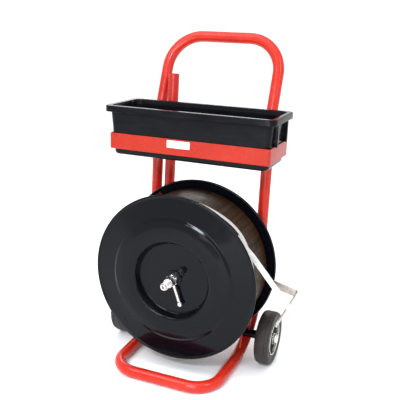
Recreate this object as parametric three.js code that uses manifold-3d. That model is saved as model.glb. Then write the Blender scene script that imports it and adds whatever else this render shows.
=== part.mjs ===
// Mobile strapping dispenser cart: a welded tube frame on two wheels that carries a
// quick-release reel of flat strap, a sprung guide and brake arm, and a tool tray.
// Millimetres, +X to the right, +Y to the back, +Z up, floor at z = 0.

import * as THREE from 'three';
import { mergeVertices } from 'three/addons/utils/BufferGeometryUtils.js';
import Module from 'manifold-3d';

const wasm = await Module();
wasm.setup();

// ---------------------------------------------------------------- driving dimensions

// The object's origin is the middle of the footprint of everything but the loose strap
// end. The dimensions below are measured from the frame's centre plane and from the
// centre line of the front floor tube, which lie this far from that origin.
const FOOTPRINT_X = 21.5;
const FOOTPRINT_Y = 223.35;

const GAP = 0.3;                 // clearance left between neighbouring solids

const TUBE_R = 17;               // frame tube, outside radius
const TUBE_BORE = 15;            // frame tube, inside radius
const BASE_HALF = 158;           // half the spacing of the floor rails
const BASE_BEND = 75;            // bend radius of the floor loop
const REAR_X = 160;              // where the floor rails turn up into the legs
const REAR_Y = 305;
const REAR_BEND = 110;
const LEG_TOP_Z = 170;           // the leaning legs straighten into the uprights here
const LEG_TOP_BEND = 200;
const FOOT_Z = 215;              // weld line between the floor loop and the uprights
const UPRIGHT_HALF = 181;        // half the spacing of the uprights
const UPRIGHT_Y = 310.9;         // upright centre line, produced down to the floor plane
const LEAN = 0.058;              // backward lean of the uprights, mm per mm of height
const KNEE_Z = 720;              // height where the handle bends back
const HANDLE_LEAN = 0.39;        // backward lean of the handle
const HANDLE_Z = 960.4;          // centre line of the handle bar
const HANDLE_BEND = 105;         // corner radius of the handle
const KNEE_BEND = 110;
const SPLIT_Z = 690;             // weld line between the uprights and the handle
const CROSSBAR = 40;             // square section of the rear crossbar
const CROSSBAR_HALF = 152.8;
const CROSSBAR_Z = 115;          // middle of the crossbar
const BEAM_H = 60;               // height of the spindle beam
const BEAM_D = 40;               // depth of the spindle beam
const POST_X = -136.8;           // centre line of the tool post
const POST_BOTTOM_Z = 326;
const POST_TOP_Z = 848;

const AXIS_Z = 295;              // height of the reel axis
const RIM_R = 250;               // flange radius
const FRONT_RIM_Y = 81.5;        // plane of the front flange's rim
const BACK_RIM_Y = 274.3;        // plane of the back flange's rim
const SHEET = 2;                 // flange sheet thickness
const FLOOR_SET = 8.5;           // the dished centre lies this far inside the rim plane
const FLANGE_SIDES = 40;
const SHAFT_R = 12;
const COIL_R = 225;
const CORE_R = 106;

const WHEEL_X = 244;             // centre of the tread
const WHEEL_Y = 258;
const WHEEL_R = 81.2;
const WHEEL_W = 44;
const AXLE_R = 9;
const AXLE_PLATE_X = 160.5;      // inner face of the plate that carries a stub axle
const AXLE_PLATE_T = 5;

const TRAY_TOP_Z = 767;
const TRAY_FLOOR_Z = 622.6;
const TRAY_FRONT_Y = 138;        // outer edge of the rim at the front
const TRAY_BACK_Y = 337;
const TRAY_HALF = 258;           // half the rim's length
const LIP = 12.5;                // overhang of the rim
const LIP_H = 18;
const TRAY_WALL = 3;
const TRAY_DRAFT = 0.068;        // wall draft, mm per mm of height

const BAND_Z = 640.6;
const BAND_H = 46;
const BAND_T = 3;
const BAND_HALF = 244.8;
const BAND_FRONT_Y = 149.5;
const BAND_BACK_Y = 330.2;

const ARM_PIVOT_Z = 256;
const ARM_Y = 298;               // front face of the arm bar
const ARM_T = 4;
const ARM_H = 22;
const ARM_LENGTH = 138;          // pivot to the outer face of the guide leg
const ARM_INNER = 106;           // pivot to the brake end
const ARM_SLOPE = THREE.MathUtils.degToRad(14.2);
const LEG_LENGTH = 213;
const DRUM_R = 70;

const STRAP_W = 16;
const STRAP_T = 0.9;
const STRAP_Y = 130;             // middle of the strap's width

// The strap leaves the coil tangentially, passes over the guide leg and ends cut.
// Points are [x, z] on the strap's middle line.
const STRAP_ROUTE = [
  [173.1, 440.4], [186.9, 423.9], [200.8, 407.6], [214.8, 391.3], [228.9, 375.0], [243.0, 358.7],
  [257.1, 342.4], [271.2, 326.0], [285.2, 309.6], [299.1, 293.1], [313.0, 276.6], [326.9, 260.1],
  [340.9, 243.7], [355.0, 227.3], [369.2, 211.0], [383.5, 194.8],
];

// Bores of running fits stay clear of the shaft at the middle of their facets.
const RUNNING_FIT = 0.3;

// ---------------------------------------------------------------- materials

function finish(color, roughness, metalness) {
  return new THREE.MeshStandardMaterial({ color, roughness, metalness });
}

const red = finish(0xc4261a, 0.35, 0.1);
const black = finish(0x0b0c10, 0.15, 0.2);
const blackPlastic = finish(0x101114, 0.2, 0);
const rubber = finish(0x1d1a18, 0.85, 0);
const hubPlastic = finish(0x22201f, 0.6, 0);
const zinc = finish(0xb9bcc0, 0.35, 0.9);
const steel = finish(0x8d9096, 0.3, 0.9);
const strapBlack = finish(0x17110f, 0.25, 0);
const strapPale = finish(0xc9c6c2, 0.35, 0.3);
const card = finish(0x8a6a48, 0.9, 0);
const friction = finish(0x4a3a2e, 0.95, 0);
const paper = finish(0xf2f0ee, 0.6, 0);

// ---------------------------------------------------------------- helpers

const cart = new THREE.Group();

// A position-only, welded copy whose faces point out.
function weld(geometry) {
  const bare = new THREE.BufferGeometry();
  bare.setAttribute('position', geometry.getAttribute('position').clone());
  if (geometry.index) bare.setIndex(geometry.index.clone());
  const welded = mergeVertices(bare, 1e-4);
  const p = welded.getAttribute('position');
  const index = Array.from(welded.index.array);
  const a = new THREE.Vector3();
  const b = new THREE.Vector3();
  const c = new THREE.Vector3();
  const kept = [];
  let volume = 0;
  for (let i = 0; i < index.length; i += 3) {
    const [u, v, w] = index.slice(i, i + 3);
    if (u === v || v === w || w === u) continue;
    kept.push(u, v, w);
    a.fromBufferAttribute(p, u);
    b.fromBufferAttribute(p, v);
    c.fromBufferAttribute(p, w);
    volume += a.dot(b.cross(c));
  }
  if (volume < 0) kept.reverse();
  welded.setIndex(kept);
  return welded;
}

function toSolid(geometry) {
  const welded = weld(geometry);
  return new wasm.Manifold(new wasm.Mesh({
    numProp: 3,
    vertProperties: new Float32Array(welded.getAttribute('position').array),
    triVerts: new Uint32Array(welded.index.array),
  }));
}

function fromSolid(solid) {
  const mesh = solid.getMesh();
  const geometry = new THREE.BufferGeometry();
  geometry.setAttribute('position', new THREE.BufferAttribute(new Float32Array(mesh.vertProperties), 3));
  geometry.setIndex(new THREE.BufferAttribute(new Uint32Array(mesh.triVerts), 1));
  return geometry;
}

function cut(geometry, ...tools) {
  return fromSolid(tools.reduce((solid, tool) => solid.subtract(toSolid(tool)), toSolid(geometry)));
}

function join(geometry, ...others) {
  return fromSolid(others.reduce((solid, other) => solid.add(toSolid(other)), toSolid(geometry)));
}

function add(name, geometry, material, parent = cart) {
  const mesh = new THREE.Mesh(weld(geometry), material);
  mesh.name = name;
  parent.add(mesh);
  return mesh;
}

function groupAt(x, y, z, parent = cart) {
  const group = new THREE.Group();
  group.position.set(x, y, z);
  parent.add(group);
  return group;
}

function box(x0, x1, y0, y1, z0, z1) {
  const geometry = new THREE.BoxGeometry(x1 - x0, y1 - y0, z1 - z0);
  return geometry.translate((x0 + x1) / 2, (y0 + y1) / 2, (z0 + z1) / 2);
}

// Revolves a closed outline of [radius, distance along the axis] pairs about Y.
function revolve(outline, segments) {
  const points = outline.map(([r, y]) => new THREE.Vector2(r, y));
  points.push(points[0].clone());
  return new THREE.LatheGeometry(points, segments);
}

// A rod or ring along Y, from y0 to y1.
function ring(inner, outer, y0, y1, segments = 20) {
  return revolve([[inner, y0], [outer, y0], [outer, y1], [inner, y1]], segments);
}

function rod(radius, y0, y1, segments = 20) {
  const geometry = new THREE.CylinderGeometry(radius, radius, y1 - y0, segments);
  return geometry.translate(0, (y0 + y1) / 2, 0);
}

// A hexagonal nut along Y: outer is the corner radius.
function hexNut(bore, outer, y0, y1) {
  return cut(rod(outer, y0, y1, 6), rod(bore, y0 - 1, y1 + 1, 16));
}

const alongX = (geometry) => geometry.rotateZ(-Math.PI / 2);
const alongZ = (geometry) => geometry.rotateX(Math.PI / 2);

// Straight runs joined by arcs. It steps only where the tube bends.
class BentPath extends THREE.Curve {
  constructor(corners, arcStep = Math.PI / 11) {
    super();
    this.points = [corners[0].at];
    for (let i = 1; i < corners.length - 1; i++) {
      const { at, radius } = corners[i];
      const before = corners[i - 1].at.clone().sub(at).normalize();
      const after = corners[i + 1].at.clone().sub(at).normalize();
      const turn = Math.PI - before.angleTo(after);
      const reach = radius * Math.tan(turn / 2);
      const start = at.clone().addScaledVector(before, reach);
      const inward = before.clone().add(after).normalize();
      const centre = at.clone().addScaledVector(inward, radius / Math.cos(turn / 2));
      const spoke = start.clone().sub(centre);
      const axis = before.clone().cross(after).normalize().negate();
      const steps = Math.max(2, Math.ceil(turn / arcStep));
      for (let k = 0; k <= steps; k++) {
        this.points.push(spoke.clone().applyAxisAngle(axis, turn * k / steps).add(centre));
      }
    }
    this.points.push(corners[corners.length - 1].at);
    this.steps = this.points.length - 1;
  }

  getPoint(t, target = new THREE.Vector3()) {
    const s = Math.min(t, 1) * this.steps;
    const i = Math.min(Math.floor(s + 1e-6), this.steps - 1);
    return target.lerpVectors(this.points[i], this.points[i + 1], s - i);
  }

  getPointAt(u, target) {
    return this.getPoint(u, target);
  }

  getTangentAt(u, target = new THREE.Vector3()) {
    const i = Math.round(u * this.steps);
    const back = this.points[Math.max(i - 1, 0)];
    const here = this.points[i];
    const next = this.points[Math.min(i + 1, this.steps)];
    const into = here.clone().sub(back).normalize();
    const out = next.clone().sub(here).normalize();
    return target.copy(into).add(out).normalize();
  }
}

function bentTube(corners, outer, bore, sides = 14) {
  const path = new BentPath(corners);
  const section = new THREE.Shape();
  section.absarc(0, 0, outer, 0, Math.PI * 2);
  if (bore) section.holes.push(new THREE.Path().absarc(0, 0, bore, 0, Math.PI * 2, true));
  return new THREE.ExtrudeGeometry(section, {
    steps: path.steps, curveSegments: sides / 2, bevelEnabled: false, extrudePath: path,
  });
}

const corner = (x, y, z, radius = 0) => ({ at: new THREE.Vector3(x, y, z), radius });

function roundedRect(halfX, y0, y1, radius, PathType = THREE.Shape) {
  const path = new PathType();
  path.moveTo(-halfX + radius, y0);
  path.absarc(halfX - radius, y0 + radius, radius, -Math.PI / 2, 0);
  path.absarc(halfX - radius, y1 - radius, radius, 0, Math.PI / 2);
  path.absarc(-halfX + radius, y1 - radius, radius, Math.PI / 2, Math.PI);
  path.absarc(-halfX + radius, y0 + radius, radius, Math.PI, Math.PI * 1.5);
  return path;
}

function prism(shape, z0, z1, curveSegments = 4) {
  const geometry = new THREE.ExtrudeGeometry(shape, { depth: z1 - z0, bevelEnabled: false, curveSegments });
  return geometry.translate(0, 0, z0);
}

const uprightY = (z) => UPRIGHT_Y + LEAN * z;
const handleY = (z) => uprightY(KNEE_Z) + HANDLE_LEAN * (z - KNEE_Z);

// ---------------------------------------------------------------- welded frame

function buildBase() {
  const leg = (side) => [
    corner(side * UPRIGHT_HALF, uprightY(FOOT_Z), FOOT_Z),
    corner(side * UPRIGHT_HALF, uprightY(LEG_TOP_Z), LEG_TOP_Z, LEG_TOP_BEND),
    corner(side * REAR_X, REAR_Y, TUBE_R, REAR_BEND),
    corner(side * BASE_HALF, 0, TUBE_R, BASE_BEND),
  ];
  add('base_loop_tube', bentTube([...leg(-1), ...leg(1).reverse()], TUBE_R, TUBE_BORE), red);

  const wall = 2.5;
  const y0 = uprightY(CROSSBAR_Z) - CROSSBAR / 2;
  const y1 = y0 + CROSSBAR;
  const z0 = CROSSBAR_Z - CROSSBAR / 2;
  const z1 = z0 + CROSSBAR;
  const half = CROSSBAR_HALF;
  add('rear_crossbar', cut(
    box(-half, half, y0, y1, z0, z1),
    box(-half - 1, half + 1, y0 + wall, y1 - wall, z0 + wall, z1 - wall),
  ), red);
}

function buildUprights() {
  const foot = FOOT_Z + GAP;
  for (const [side, name] of [[-1, 'left'], [1, 'right']]) {
    const x = side * UPRIGHT_HALF;
    const tube = bentTube([
      corner(x, uprightY(foot), foot),
      corner(x, uprightY(SPLIT_Z), SPLIT_Z),
    ], TUBE_R, TUBE_BORE);
    const pivotBore = rod(6.4, UPRIGHT_Y - 60, UPRIGHT_Y + 100, 16).translate(x, 0, ARM_PIVOT_Z);
    add(`upright_${name}`, side > 0 ? cut(tube, pivotBore) : tube, red);
  }
  const start = SPLIT_Z + GAP;
  add('handle_tube', bentTube([
    corner(-UPRIGHT_HALF, uprightY(start), start),
    corner(-UPRIGHT_HALF, uprightY(KNEE_Z), KNEE_Z, KNEE_BEND),
    corner(-UPRIGHT_HALF, handleY(HANDLE_Z), HANDLE_Z, HANDLE_BEND),
    corner(UPRIGHT_HALF, handleY(HANDLE_Z), HANDLE_Z, HANDLE_BEND),
    corner(UPRIGHT_HALF, uprightY(KNEE_Z), KNEE_Z, KNEE_BEND),
    corner(UPRIGHT_HALF, uprightY(start), start),
  ], TUBE_R, TUBE_BORE), red);
}

function buildSpindleBeam() {
  const half = UPRIGHT_HALF - TUBE_R - GAP;
  const y0 = uprightY(AXIS_Z) - BEAM_D / 2;
  const y1 = y0 + BEAM_D;
  const z0 = AXIS_Z - BEAM_H / 2;
  const z1 = AXIS_Z + BEAM_H / 2;
  const wall = 3;
  const bore = rod(15, y0 - 5, y1 + 5).translate(0, 0, AXIS_Z);
  add('spindle_beam', cut(
    box(-half, half, y0, y1, z0, z1),
    box(-half - 1, half + 1, y0 + wall, y1 - wall, z0 + wall, z1 - wall),
    bore,
  ), red);
}

function buildToolPost() {
  const post = bentTube([
    corner(POST_X, uprightY(POST_BOTTOM_Z), POST_BOTTOM_Z),
    corner(POST_X, uprightY(POST_TOP_Z), POST_TOP_Z),
  ], TUBE_R - 0.5, TUBE_BORE - 0.5);
  add('tool_post', post, red);
  add('post_stop_disc', ring(4, TUBE_BORE - 1.2, 0, 3, 16).rotateX(Math.PI / 2 - LEAN)
    .translate(POST_X, uprightY(POST_BOTTOM_Z + 4), POST_BOTTOM_Z + 4), zinc);

  const tabX = (POST_X - UPRIGHT_HALF) / 2;
  const lowZ = 440;
  const lowY = uprightY(lowZ);
  add('post_tab_lower', box(tabX - 4.5, tabX + 4.5, lowY - 3, lowY + 3, lowZ, lowZ + 40), red);
  const tab = new THREE.BoxGeometry(16, 5, 20);
  const topZ = 818;
  tab.rotateZ(Math.atan2(handleY(topZ) - uprightY(topZ), -UPRIGHT_HALF - POST_X));
  add('post_tab_upper', tab.translate(tabX, (handleY(topZ) + uprightY(topZ)) / 2, topZ), red);
}

// A gusset fills the inside of each rear bend and ends in a round lug for the axle.
function buildAxleMounts() {
  const bendY = REAR_Y - REAR_BEND * 0.9;
  const bendZ = TUBE_R + REAR_BEND;
  const edge = REAR_BEND - TUBE_R - 2 * GAP;
  const lug = 20;
  for (const [side, name] of [[-1, 'left'], [1, 'right']]) {
    const plate = new THREE.Shape();
    plate.absarc(bendY, bendZ, edge, -1.3, -0.14);
    plate.absarc(WHEEL_Y, WHEEL_R, lug, Math.PI / 3, Math.PI * 1.2);
    plate.holes.push(new THREE.Path().absarc(WHEEL_Y, WHEEL_R, AXLE_R + GAP, 0, Math.PI * 2, true));
    const geometry = new THREE.ExtrudeGeometry(plate, {
      depth: AXLE_PLATE_T, bevelEnabled: false, curveSegments: 8,
    });
    geometry.applyMatrix4(new THREE.Matrix4().makeBasis(
      new THREE.Vector3(0, 1, 0), new THREE.Vector3(0, 0, 1), new THREE.Vector3(1, 0, 0)));
    geometry.translate(side > 0 ? AXLE_PLATE_X : -AXLE_PLATE_X - AXLE_PLATE_T, 0, 0);
    add(`axle_plate_${name}`, geometry, red);
  }
}

// ---------------------------------------------------------------- wheels

function buildWheels() {
  for (const [side, name] of [[-1, 'left'], [1, 'right']]) {
    const wheel = groupAt(side * WHEEL_X, WHEEL_Y, WHEEL_R);
    const half = WHEEL_W / 2;
    const outward = (geometry) => alongX(side > 0 ? geometry : geometry.scale(1, -1, 1));
    const tyreInner = 51;
    add(`tyre_${name}`, outward(revolve([
      [tyreInner, -half + 2], [WHEEL_R - 8, -half], [WHEEL_R, -half + 7],
      [WHEEL_R, half - 7], [WHEEL_R - 8, half], [tyreInner, half - 2],
    ], 40)), rubber, wheel);
    add(`wheel_rim_${name}`, outward(ring(48, tyreInner - GAP, -half + 2, half - 1, 32)), zinc, wheel);
    add(`wheel_hub_${name}`, outward(revolve([
      [13.3, -half + 1], [22, -half + 1], [22, -3], [47.7, -3],
      [47.7, 4], [20, 4], [18, half - 6], [13.3, half - 6],
    ], 24)), hubPlastic, wheel);
    add(`wheel_bush_${name}`, outward(ring(AXLE_R + RUNNING_FIT, 13, -half + 0.5, half - 5.5)), steel, wheel);

    const plate = AXLE_PLATE_X - WHEEL_X;
    const spacerStart = plate + AXLE_PLATE_T + GAP;
    add(`stub_axle_${name}`, outward(revolve([
      [0, plate - 8], [14, plate - 8], [15, plate - 6], [15, plate - GAP], [AXLE_R, plate - GAP],
      [AXLE_R, half + 4], [0, half + 4],
    ], 20)), steel, wheel);
    add(`axle_spacer_${name}`, outward(ring(AXLE_R + 0.2, 13, spacerStart, -half)), zinc, wheel);
    add(`axle_washer_${name}`, outward(ring(AXLE_R + 0.2, 16, half - 5, half - 3)), zinc, wheel);
    add(`axle_cap_${name}`, outward(revolve([
      [0, half + 4.3], [AXLE_R + 0.2, half + 4.3], [AXLE_R + 0.2, half - 2.6], [14, half - 2.6],
      [14, half + 3], [11, half + 7], [0, half + 8.5],
    ], 20)), zinc, wheel);
  }
}

// ---------------------------------------------------------------- reel

// Dished pressing, drawn for the front flange: rolled rim, outer annulus, step ring,
// dome ring and a deep centre recess. The numbers are fractions of the rim radius
// and millimetres forward of the rim plane.
function flangeProfile() {
  const R = RIM_R;
  const outerFace = [
    [R * 0.975, 2], [R * 0.737, 10], [R * 0.708, 14], [R * 0.64, 17.5], [R * 0.55, 19.5],
    [R * 0.47, 17], [R * 0.43, -4], [R * 0.415, -6.5],
  ];
  const rim = [];
  const beadR = 4;
  for (let k = 0; k <= 4; k++) {
    const angle = -Math.PI * 0.45 + Math.PI * 1.15 * k / 4;
    rim.push([R - beadR + beadR * Math.cos(angle), beadR * Math.sin(angle)]);
  }
  const innerFace = outerFace.map(([r, y]) => [r, y - SHEET]).reverse();
  return [[SHAFT_R + 0.4, -6.5], [SHAFT_R + 0.4, -6.5 - SHEET], ...innerFace, ...rim, ...outerFace];
}

function buildReel() {
  const reel = groupAt(0, 0, AXIS_Z);
  const profile = flangeProfile();
  const hole = (r, angle) => rod(4, -40, 40, 8).translate(r * Math.cos(angle), 0, r * Math.sin(angle));

  const front = revolve(profile.map(([r, f]) => [r, FRONT_RIM_Y - f]), FLANGE_SIDES);
  const frontHole = hole(RIM_R * 0.875, Math.PI * 1.25).translate(0, FRONT_RIM_Y, 0);
  add('front_flange', cut(front, frontHole), black, reel);
  const back = revolve(profile.map(([r, f]) => [r, BACK_RIM_Y + f]), FLANGE_SIDES);
  const backHole = hole(RIM_R * 0.94, Math.PI * 0.7).translate(0, BACK_RIM_Y, 0);
  add('back_flange', cut(back, backHole), black, reel);

  const y0 = FRONT_RIM_Y + FLOOR_SET + GAP;
  const y1 = BACK_RIM_Y - FLOOR_SET - GAP;
  const drumR = CORE_R - 7;
  add('core_drum', revolve([
    [SHAFT_R + GAP, y0], [drumR, y0], [drumR, y1], [SHAFT_R + GAP, y1],
    [SHAFT_R + GAP, y1 - 4], [drumR - 3, y1 - 4], [drumR - 3, y0 + 4], [SHAFT_R + GAP, y0 + 4],
  ], 32), zinc, reel);
  add('coil_core', ring(drumR + GAP, CORE_R, y0 + 2, y1 - 2, 32), card, reel);
  add('strap_coil', ring(CORE_R + GAP, COIL_R, y0 + 2, y1 - 2, 48), strapBlack, reel);

  const beamFront = uprightY(AXIS_Z) - BEAM_D / 2;
  const beamBack = beamFront + BEAM_D;
  const shaftFront = 16;
  const shaftBack = beamBack + 22;
  const neck = 9;
  add('spindle_shaft', revolve([
    [0, shaftFront], [neck, shaftFront], [11, shaftFront + 3], [11, 84], [SHAFT_R, 86],
    [SHAFT_R, shaftBack], [0, shaftBack],
  ], 20), steel, reel);
  add('brake_drum', revolve([
    [SHAFT_R + GAP, y1 + SHEET + 2 * GAP], [DRUM_R, y1 + SHEET + 2 * GAP], [DRUM_R, y1 + 27],
    [DRUM_R - 5, y1 + 27], [DRUM_R - 5, y1 + 6], [SHAFT_R + GAP, y1 + 6],
  ], 32), steel, reel);

  const faceY = FRONT_RIM_Y + FLOOR_SET - SHEET - GAP;
  add('clamp_washer', ring(SHAFT_R + 0.4, 24, faceY - 3.2, faceY, 24), zinc, reel);
  const nut = groupAt(0, faceY - 3.5, AXIS_Z);
  add('clamp_nut', revolve([
    [11.3, 0], [17.5, 0], [17.5, -15], [14.5, -18], [14.5, -35], [13, -38], [11.3, -38],
  ], 20), zinc, nut);
  const lever = new THREE.Group();
  lever.position.set(0, -8, 0);
  lever.rotation.y = THREE.MathUtils.degToRad(160);
  nut.add(lever);
  add('clamp_lever', alongZ(revolve([
    [0, -17.8], [5.2, -17.8], [5.2, -66], [4, -68], [0, -68],
  ], 14)).rotateX(Math.PI), steel, lever);
  add('lever_knob', alongZ(revolve([
    [0, -68.3], [5, -68.3], [7.5, -71], [7.5, -78], [5, -82], [0, -83],
  ], 16)).rotateX(Math.PI), zinc, lever);

  buildBearing(beamFront, beamBack, shaftBack);
}

function buildBearing(beamFront, beamBack, shaftBack) {
  const hub = groupAt(0, 0, AXIS_Z);
  const seat = beamFront - GAP;
  const housing = revolve([
    [26.3, seat - 34], [32, seat - 34], [32, seat - 12], [48, seat - 8], [48, seat],
    [15, seat], [15, seat - 3], [26.3, seat - 3],
  ], 24);
  const screwR = 40;
  const screws = [0, 1, 2, 3].map((k) => (k + 0.5) * Math.PI / 2);
  const holes = screws.map((t) => rod(4.3, seat - 20, seat + 5, 8)
    .translate(screwR * Math.cos(t), 0, screwR * Math.sin(t)));
  add('bearing_housing', cut(housing, ...holes), hubPlastic, hub);
  add('bearing_front', ring(SHAFT_R + RUNNING_FIT, 26, seat - 33, seat - 19), steel, hub);
  add('bearing_rear', ring(SHAFT_R + RUNNING_FIT, 26, seat - 18, seat - 4), steel, hub);
  screws.forEach((t, k) => {
    const screw = join(rod(6.5, seat - 17, seat - 12.4, 6), rod(3.9, seat - 13, seat - GAP, 8));
    add(`housing_screw_${k + 1}`, screw.translate(screwR * Math.cos(t), 0, screwR * Math.sin(t)), zinc, hub);
  });
  add('shaft_washer', ring(SHAFT_R + 0.2, 22, beamBack + GAP, beamBack + 3), zinc, hub);
  add('shaft_locknut', hexNut(SHAFT_R + 0.4, 19, beamBack + 3 + GAP, shaftBack - 6), zinc, hub);
}

// ---------------------------------------------------------------- guide and brake arm

function buildGuideArm() {
  const arm = groupAt(UPRIGHT_HALF, ARM_Y, ARM_PIVOT_Z);
  arm.rotation.y = ARM_SLOPE;

  const plan = new THREE.Shape();
  const bend = 7;
  plan.moveTo(-ARM_INNER, 0);
  plan.lineTo(ARM_LENGTH - ARM_T, 0);
  plan.lineTo(ARM_LENGTH - ARM_T, -LEG_LENGTH);
  plan.lineTo(ARM_LENGTH, -LEG_LENGTH);
  plan.absarc(ARM_LENGTH - bend, ARM_T - bend, bend, 0, Math.PI / 2);
  plan.lineTo(-ARM_INNER, ARM_T);
  const bar = prism(plan, -ARM_H / 2, ARM_H / 2);
  add('guide_arm_bar', cut(bar, rod(6.3, -5, 10, 16)), zinc, arm);

  const headFront = -3.6;
  const tail = uprightY(ARM_PIVOT_Z) + TUBE_R + 26 - ARM_Y;
  add('arm_pivot_bolt', join(rod(9, headFront, -GAP, 16), rod(6, headFront, tail, 16)), zinc, arm);
  const rearFace = uprightY(ARM_PIVOT_Z) + TUBE_R - ARM_Y;
  add('arm_pivot_nut', hexNut(6.2, 10.5, tail - 7.5, tail - 1), zinc, arm);
  const frontGap = uprightY(ARM_PIVOT_Z) - TUBE_R - ARM_Y;
  add('arm_spacer', ring(6.3, 10, ARM_T + GAP, frontGap - 0.9, 16), zinc, arm);

  // The return spring is a close helix round the bolt, behind the upright.
  const wire = 1.1;
  const coilR = 9.3;
  const turns = 4;
  const pitch = 3.1;
  const first = rearFace + 3.6;
  class Helix extends THREE.Curve {
    getPoint(t, target = new THREE.Vector3()) {
      const angle = t * turns * Math.PI * 2;
      return target.set(coilR * Math.cos(angle), first + t * turns * pitch, coilR * Math.sin(angle));
    }
  }
  const section = new THREE.Shape().absarc(0, 0, wire, 0, Math.PI * 2);
  add('return_spring', new THREE.ExtrudeGeometry(section, {
    steps: turns * 12, curveSegments: 3, bevelEnabled: false, extrudePath: new Helix(),
  }), steel, groupAt(UPRIGHT_HALF, ARM_Y, ARM_PIVOT_Z));

  const brake = groupAt(0, 0, AXIS_Z);
  const centre = THREE.MathUtils.degToRad(6);
  const sector = (inner, outer, half, y0, y1) => {
    const shape = new THREE.Shape();
    shape.absarc(0, 0, outer, centre - half, centre + half);
    shape.absarc(0, 0, inner, centre + half, centre - half, true);
    return prism(shape, 0, y1 - y0, 8).rotateX(Math.PI / 2).translate(0, y1, 0);
  };
  const drumEnd = BACK_RIM_Y - FLOOR_SET - GAP + 27;
  add('brake_block', sector(DRUM_R + 0.4, DRUM_R + 9, 0.22, drumEnd - 20, drumEnd - 1), friction, brake);
  add('brake_shoe', sector(DRUM_R + 9 + GAP, DRUM_R + 14, 0.24, drumEnd - 20, ARM_Y - GAP), zinc, brake);
}

// ---------------------------------------------------------------- strap end

function buildStrapTail() {
  const path = new THREE.CatmullRomCurve3(STRAP_ROUTE.map(([x, z]) => new THREE.Vector3(x, STRAP_Y, z)));
  const section = new THREE.Shape();
  section.moveTo(-STRAP_W / 2, -STRAP_T / 2);
  section.lineTo(STRAP_W / 2, -STRAP_T / 2);
  section.lineTo(STRAP_W / 2, STRAP_T / 2);
  section.lineTo(-STRAP_W / 2, STRAP_T / 2);
  add('strap_tail', new THREE.ExtrudeGeometry(section, {
    steps: 15, bevelEnabled: false, extrudePath: path,
  }), strapPale);
}

// ---------------------------------------------------------------- tray and its band

// A tapered open box: a rounded rectangle whose section shrinks towards the floor.
function taperedPrism(inset, z0, z1) {
  const radius = 22;
  const top = TRAY_TOP_Z - LIP_H;
  const step = LIP + inset;
  const shape = roundedRect(TRAY_HALF - step, TRAY_FRONT_Y + step, TRAY_BACK_Y - step, radius);
  const geometry = prism(shape, z0, z1, 4);
  const middleY = (TRAY_FRONT_Y + TRAY_BACK_Y) / 2;
  const position = geometry.getAttribute('position');
  for (let i = 0; i < position.count; i++) {
    const narrow = TRAY_DRAFT * Math.max(0, top - position.getZ(i));
    const x = position.getX(i);
    const y = position.getY(i) - middleY;
    position.setX(i, x - Math.sign(x) * narrow);
    position.setY(i, middleY + y - Math.sign(y) * narrow * 0.8);
  }
  return geometry;
}

function buildTray() {
  const lipZ = TRAY_TOP_Z - LIP_H;
  const skirt = 3;
  const lip = prism(roundedRect(TRAY_HALF, TRAY_FRONT_Y, TRAY_BACK_Y, 26), lipZ, TRAY_TOP_Z);
  const hollow = roundedRect(TRAY_HALF - skirt, TRAY_FRONT_Y + skirt, TRAY_BACK_Y - skirt, 23);
  const under = prism(hollow, lipZ - 1, TRAY_TOP_Z - skirt);
  const outer = taperedPrism(0, TRAY_FLOOR_Z, TRAY_TOP_Z);
  const inner = taperedPrism(TRAY_WALL, TRAY_FLOOR_Z + TRAY_WALL, TRAY_TOP_Z + 1);
  const hollowLip = toSolid(lip).subtract(toSolid(under));
  let body = toSolid(outer).add(hollowLip);
  const seatZ = BAND_Z + BAND_H + GAP;
  for (const side of [-1, 1]) {
    for (const y of [TRAY_FRONT_Y + 52, TRAY_BACK_Y - 52]) {
      const x0 = side * (TRAY_HALF - 22);
      const x1 = side * (TRAY_HALF - 4.5);
      body = body.add(toSolid(box(Math.min(x0, x1), Math.max(x0, x1), y - 5, y + 5, seatZ, TRAY_TOP_Z - 1)));
    }
  }
  add('tray', fromSolid(body.subtract(toSolid(inner))), blackPlastic);
}

function buildBand() {
  const outline = roundedRect(BAND_HALF, BAND_FRONT_Y, BAND_BACK_Y, 9);
  const innerHalf = BAND_HALF - BAND_T;
  outline.holes.push(roundedRect(innerHalf, BAND_FRONT_Y + BAND_T, BAND_BACK_Y - BAND_T, 6, THREE.Path));
  add('tray_band', prism(outline, BAND_Z, BAND_Z + BAND_H, 4), red);
  add('blank_label', box(-58, 12, BAND_FRONT_Y - 1.1, BAND_FRONT_Y - GAP, BAND_Z + 21, BAND_Z + 42), paper);
}

// ---------------------------------------------------------------- assembly

buildBase();
buildUprights();
buildSpindleBeam();
buildToolPost();
buildAxleMounts();
buildWheels();
buildReel();
buildGuideArm();
buildStrapTail();
buildTray();
buildBand();

cart.position.set(-FOOTPRINT_X, -FOOTPRINT_Y, 0);

export default cart;
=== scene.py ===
"""Strapping dispenser cart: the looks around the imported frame, in metres."""
import math
import random

import bmesh
import bpy
from mathutils import Matrix, Vector


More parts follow.
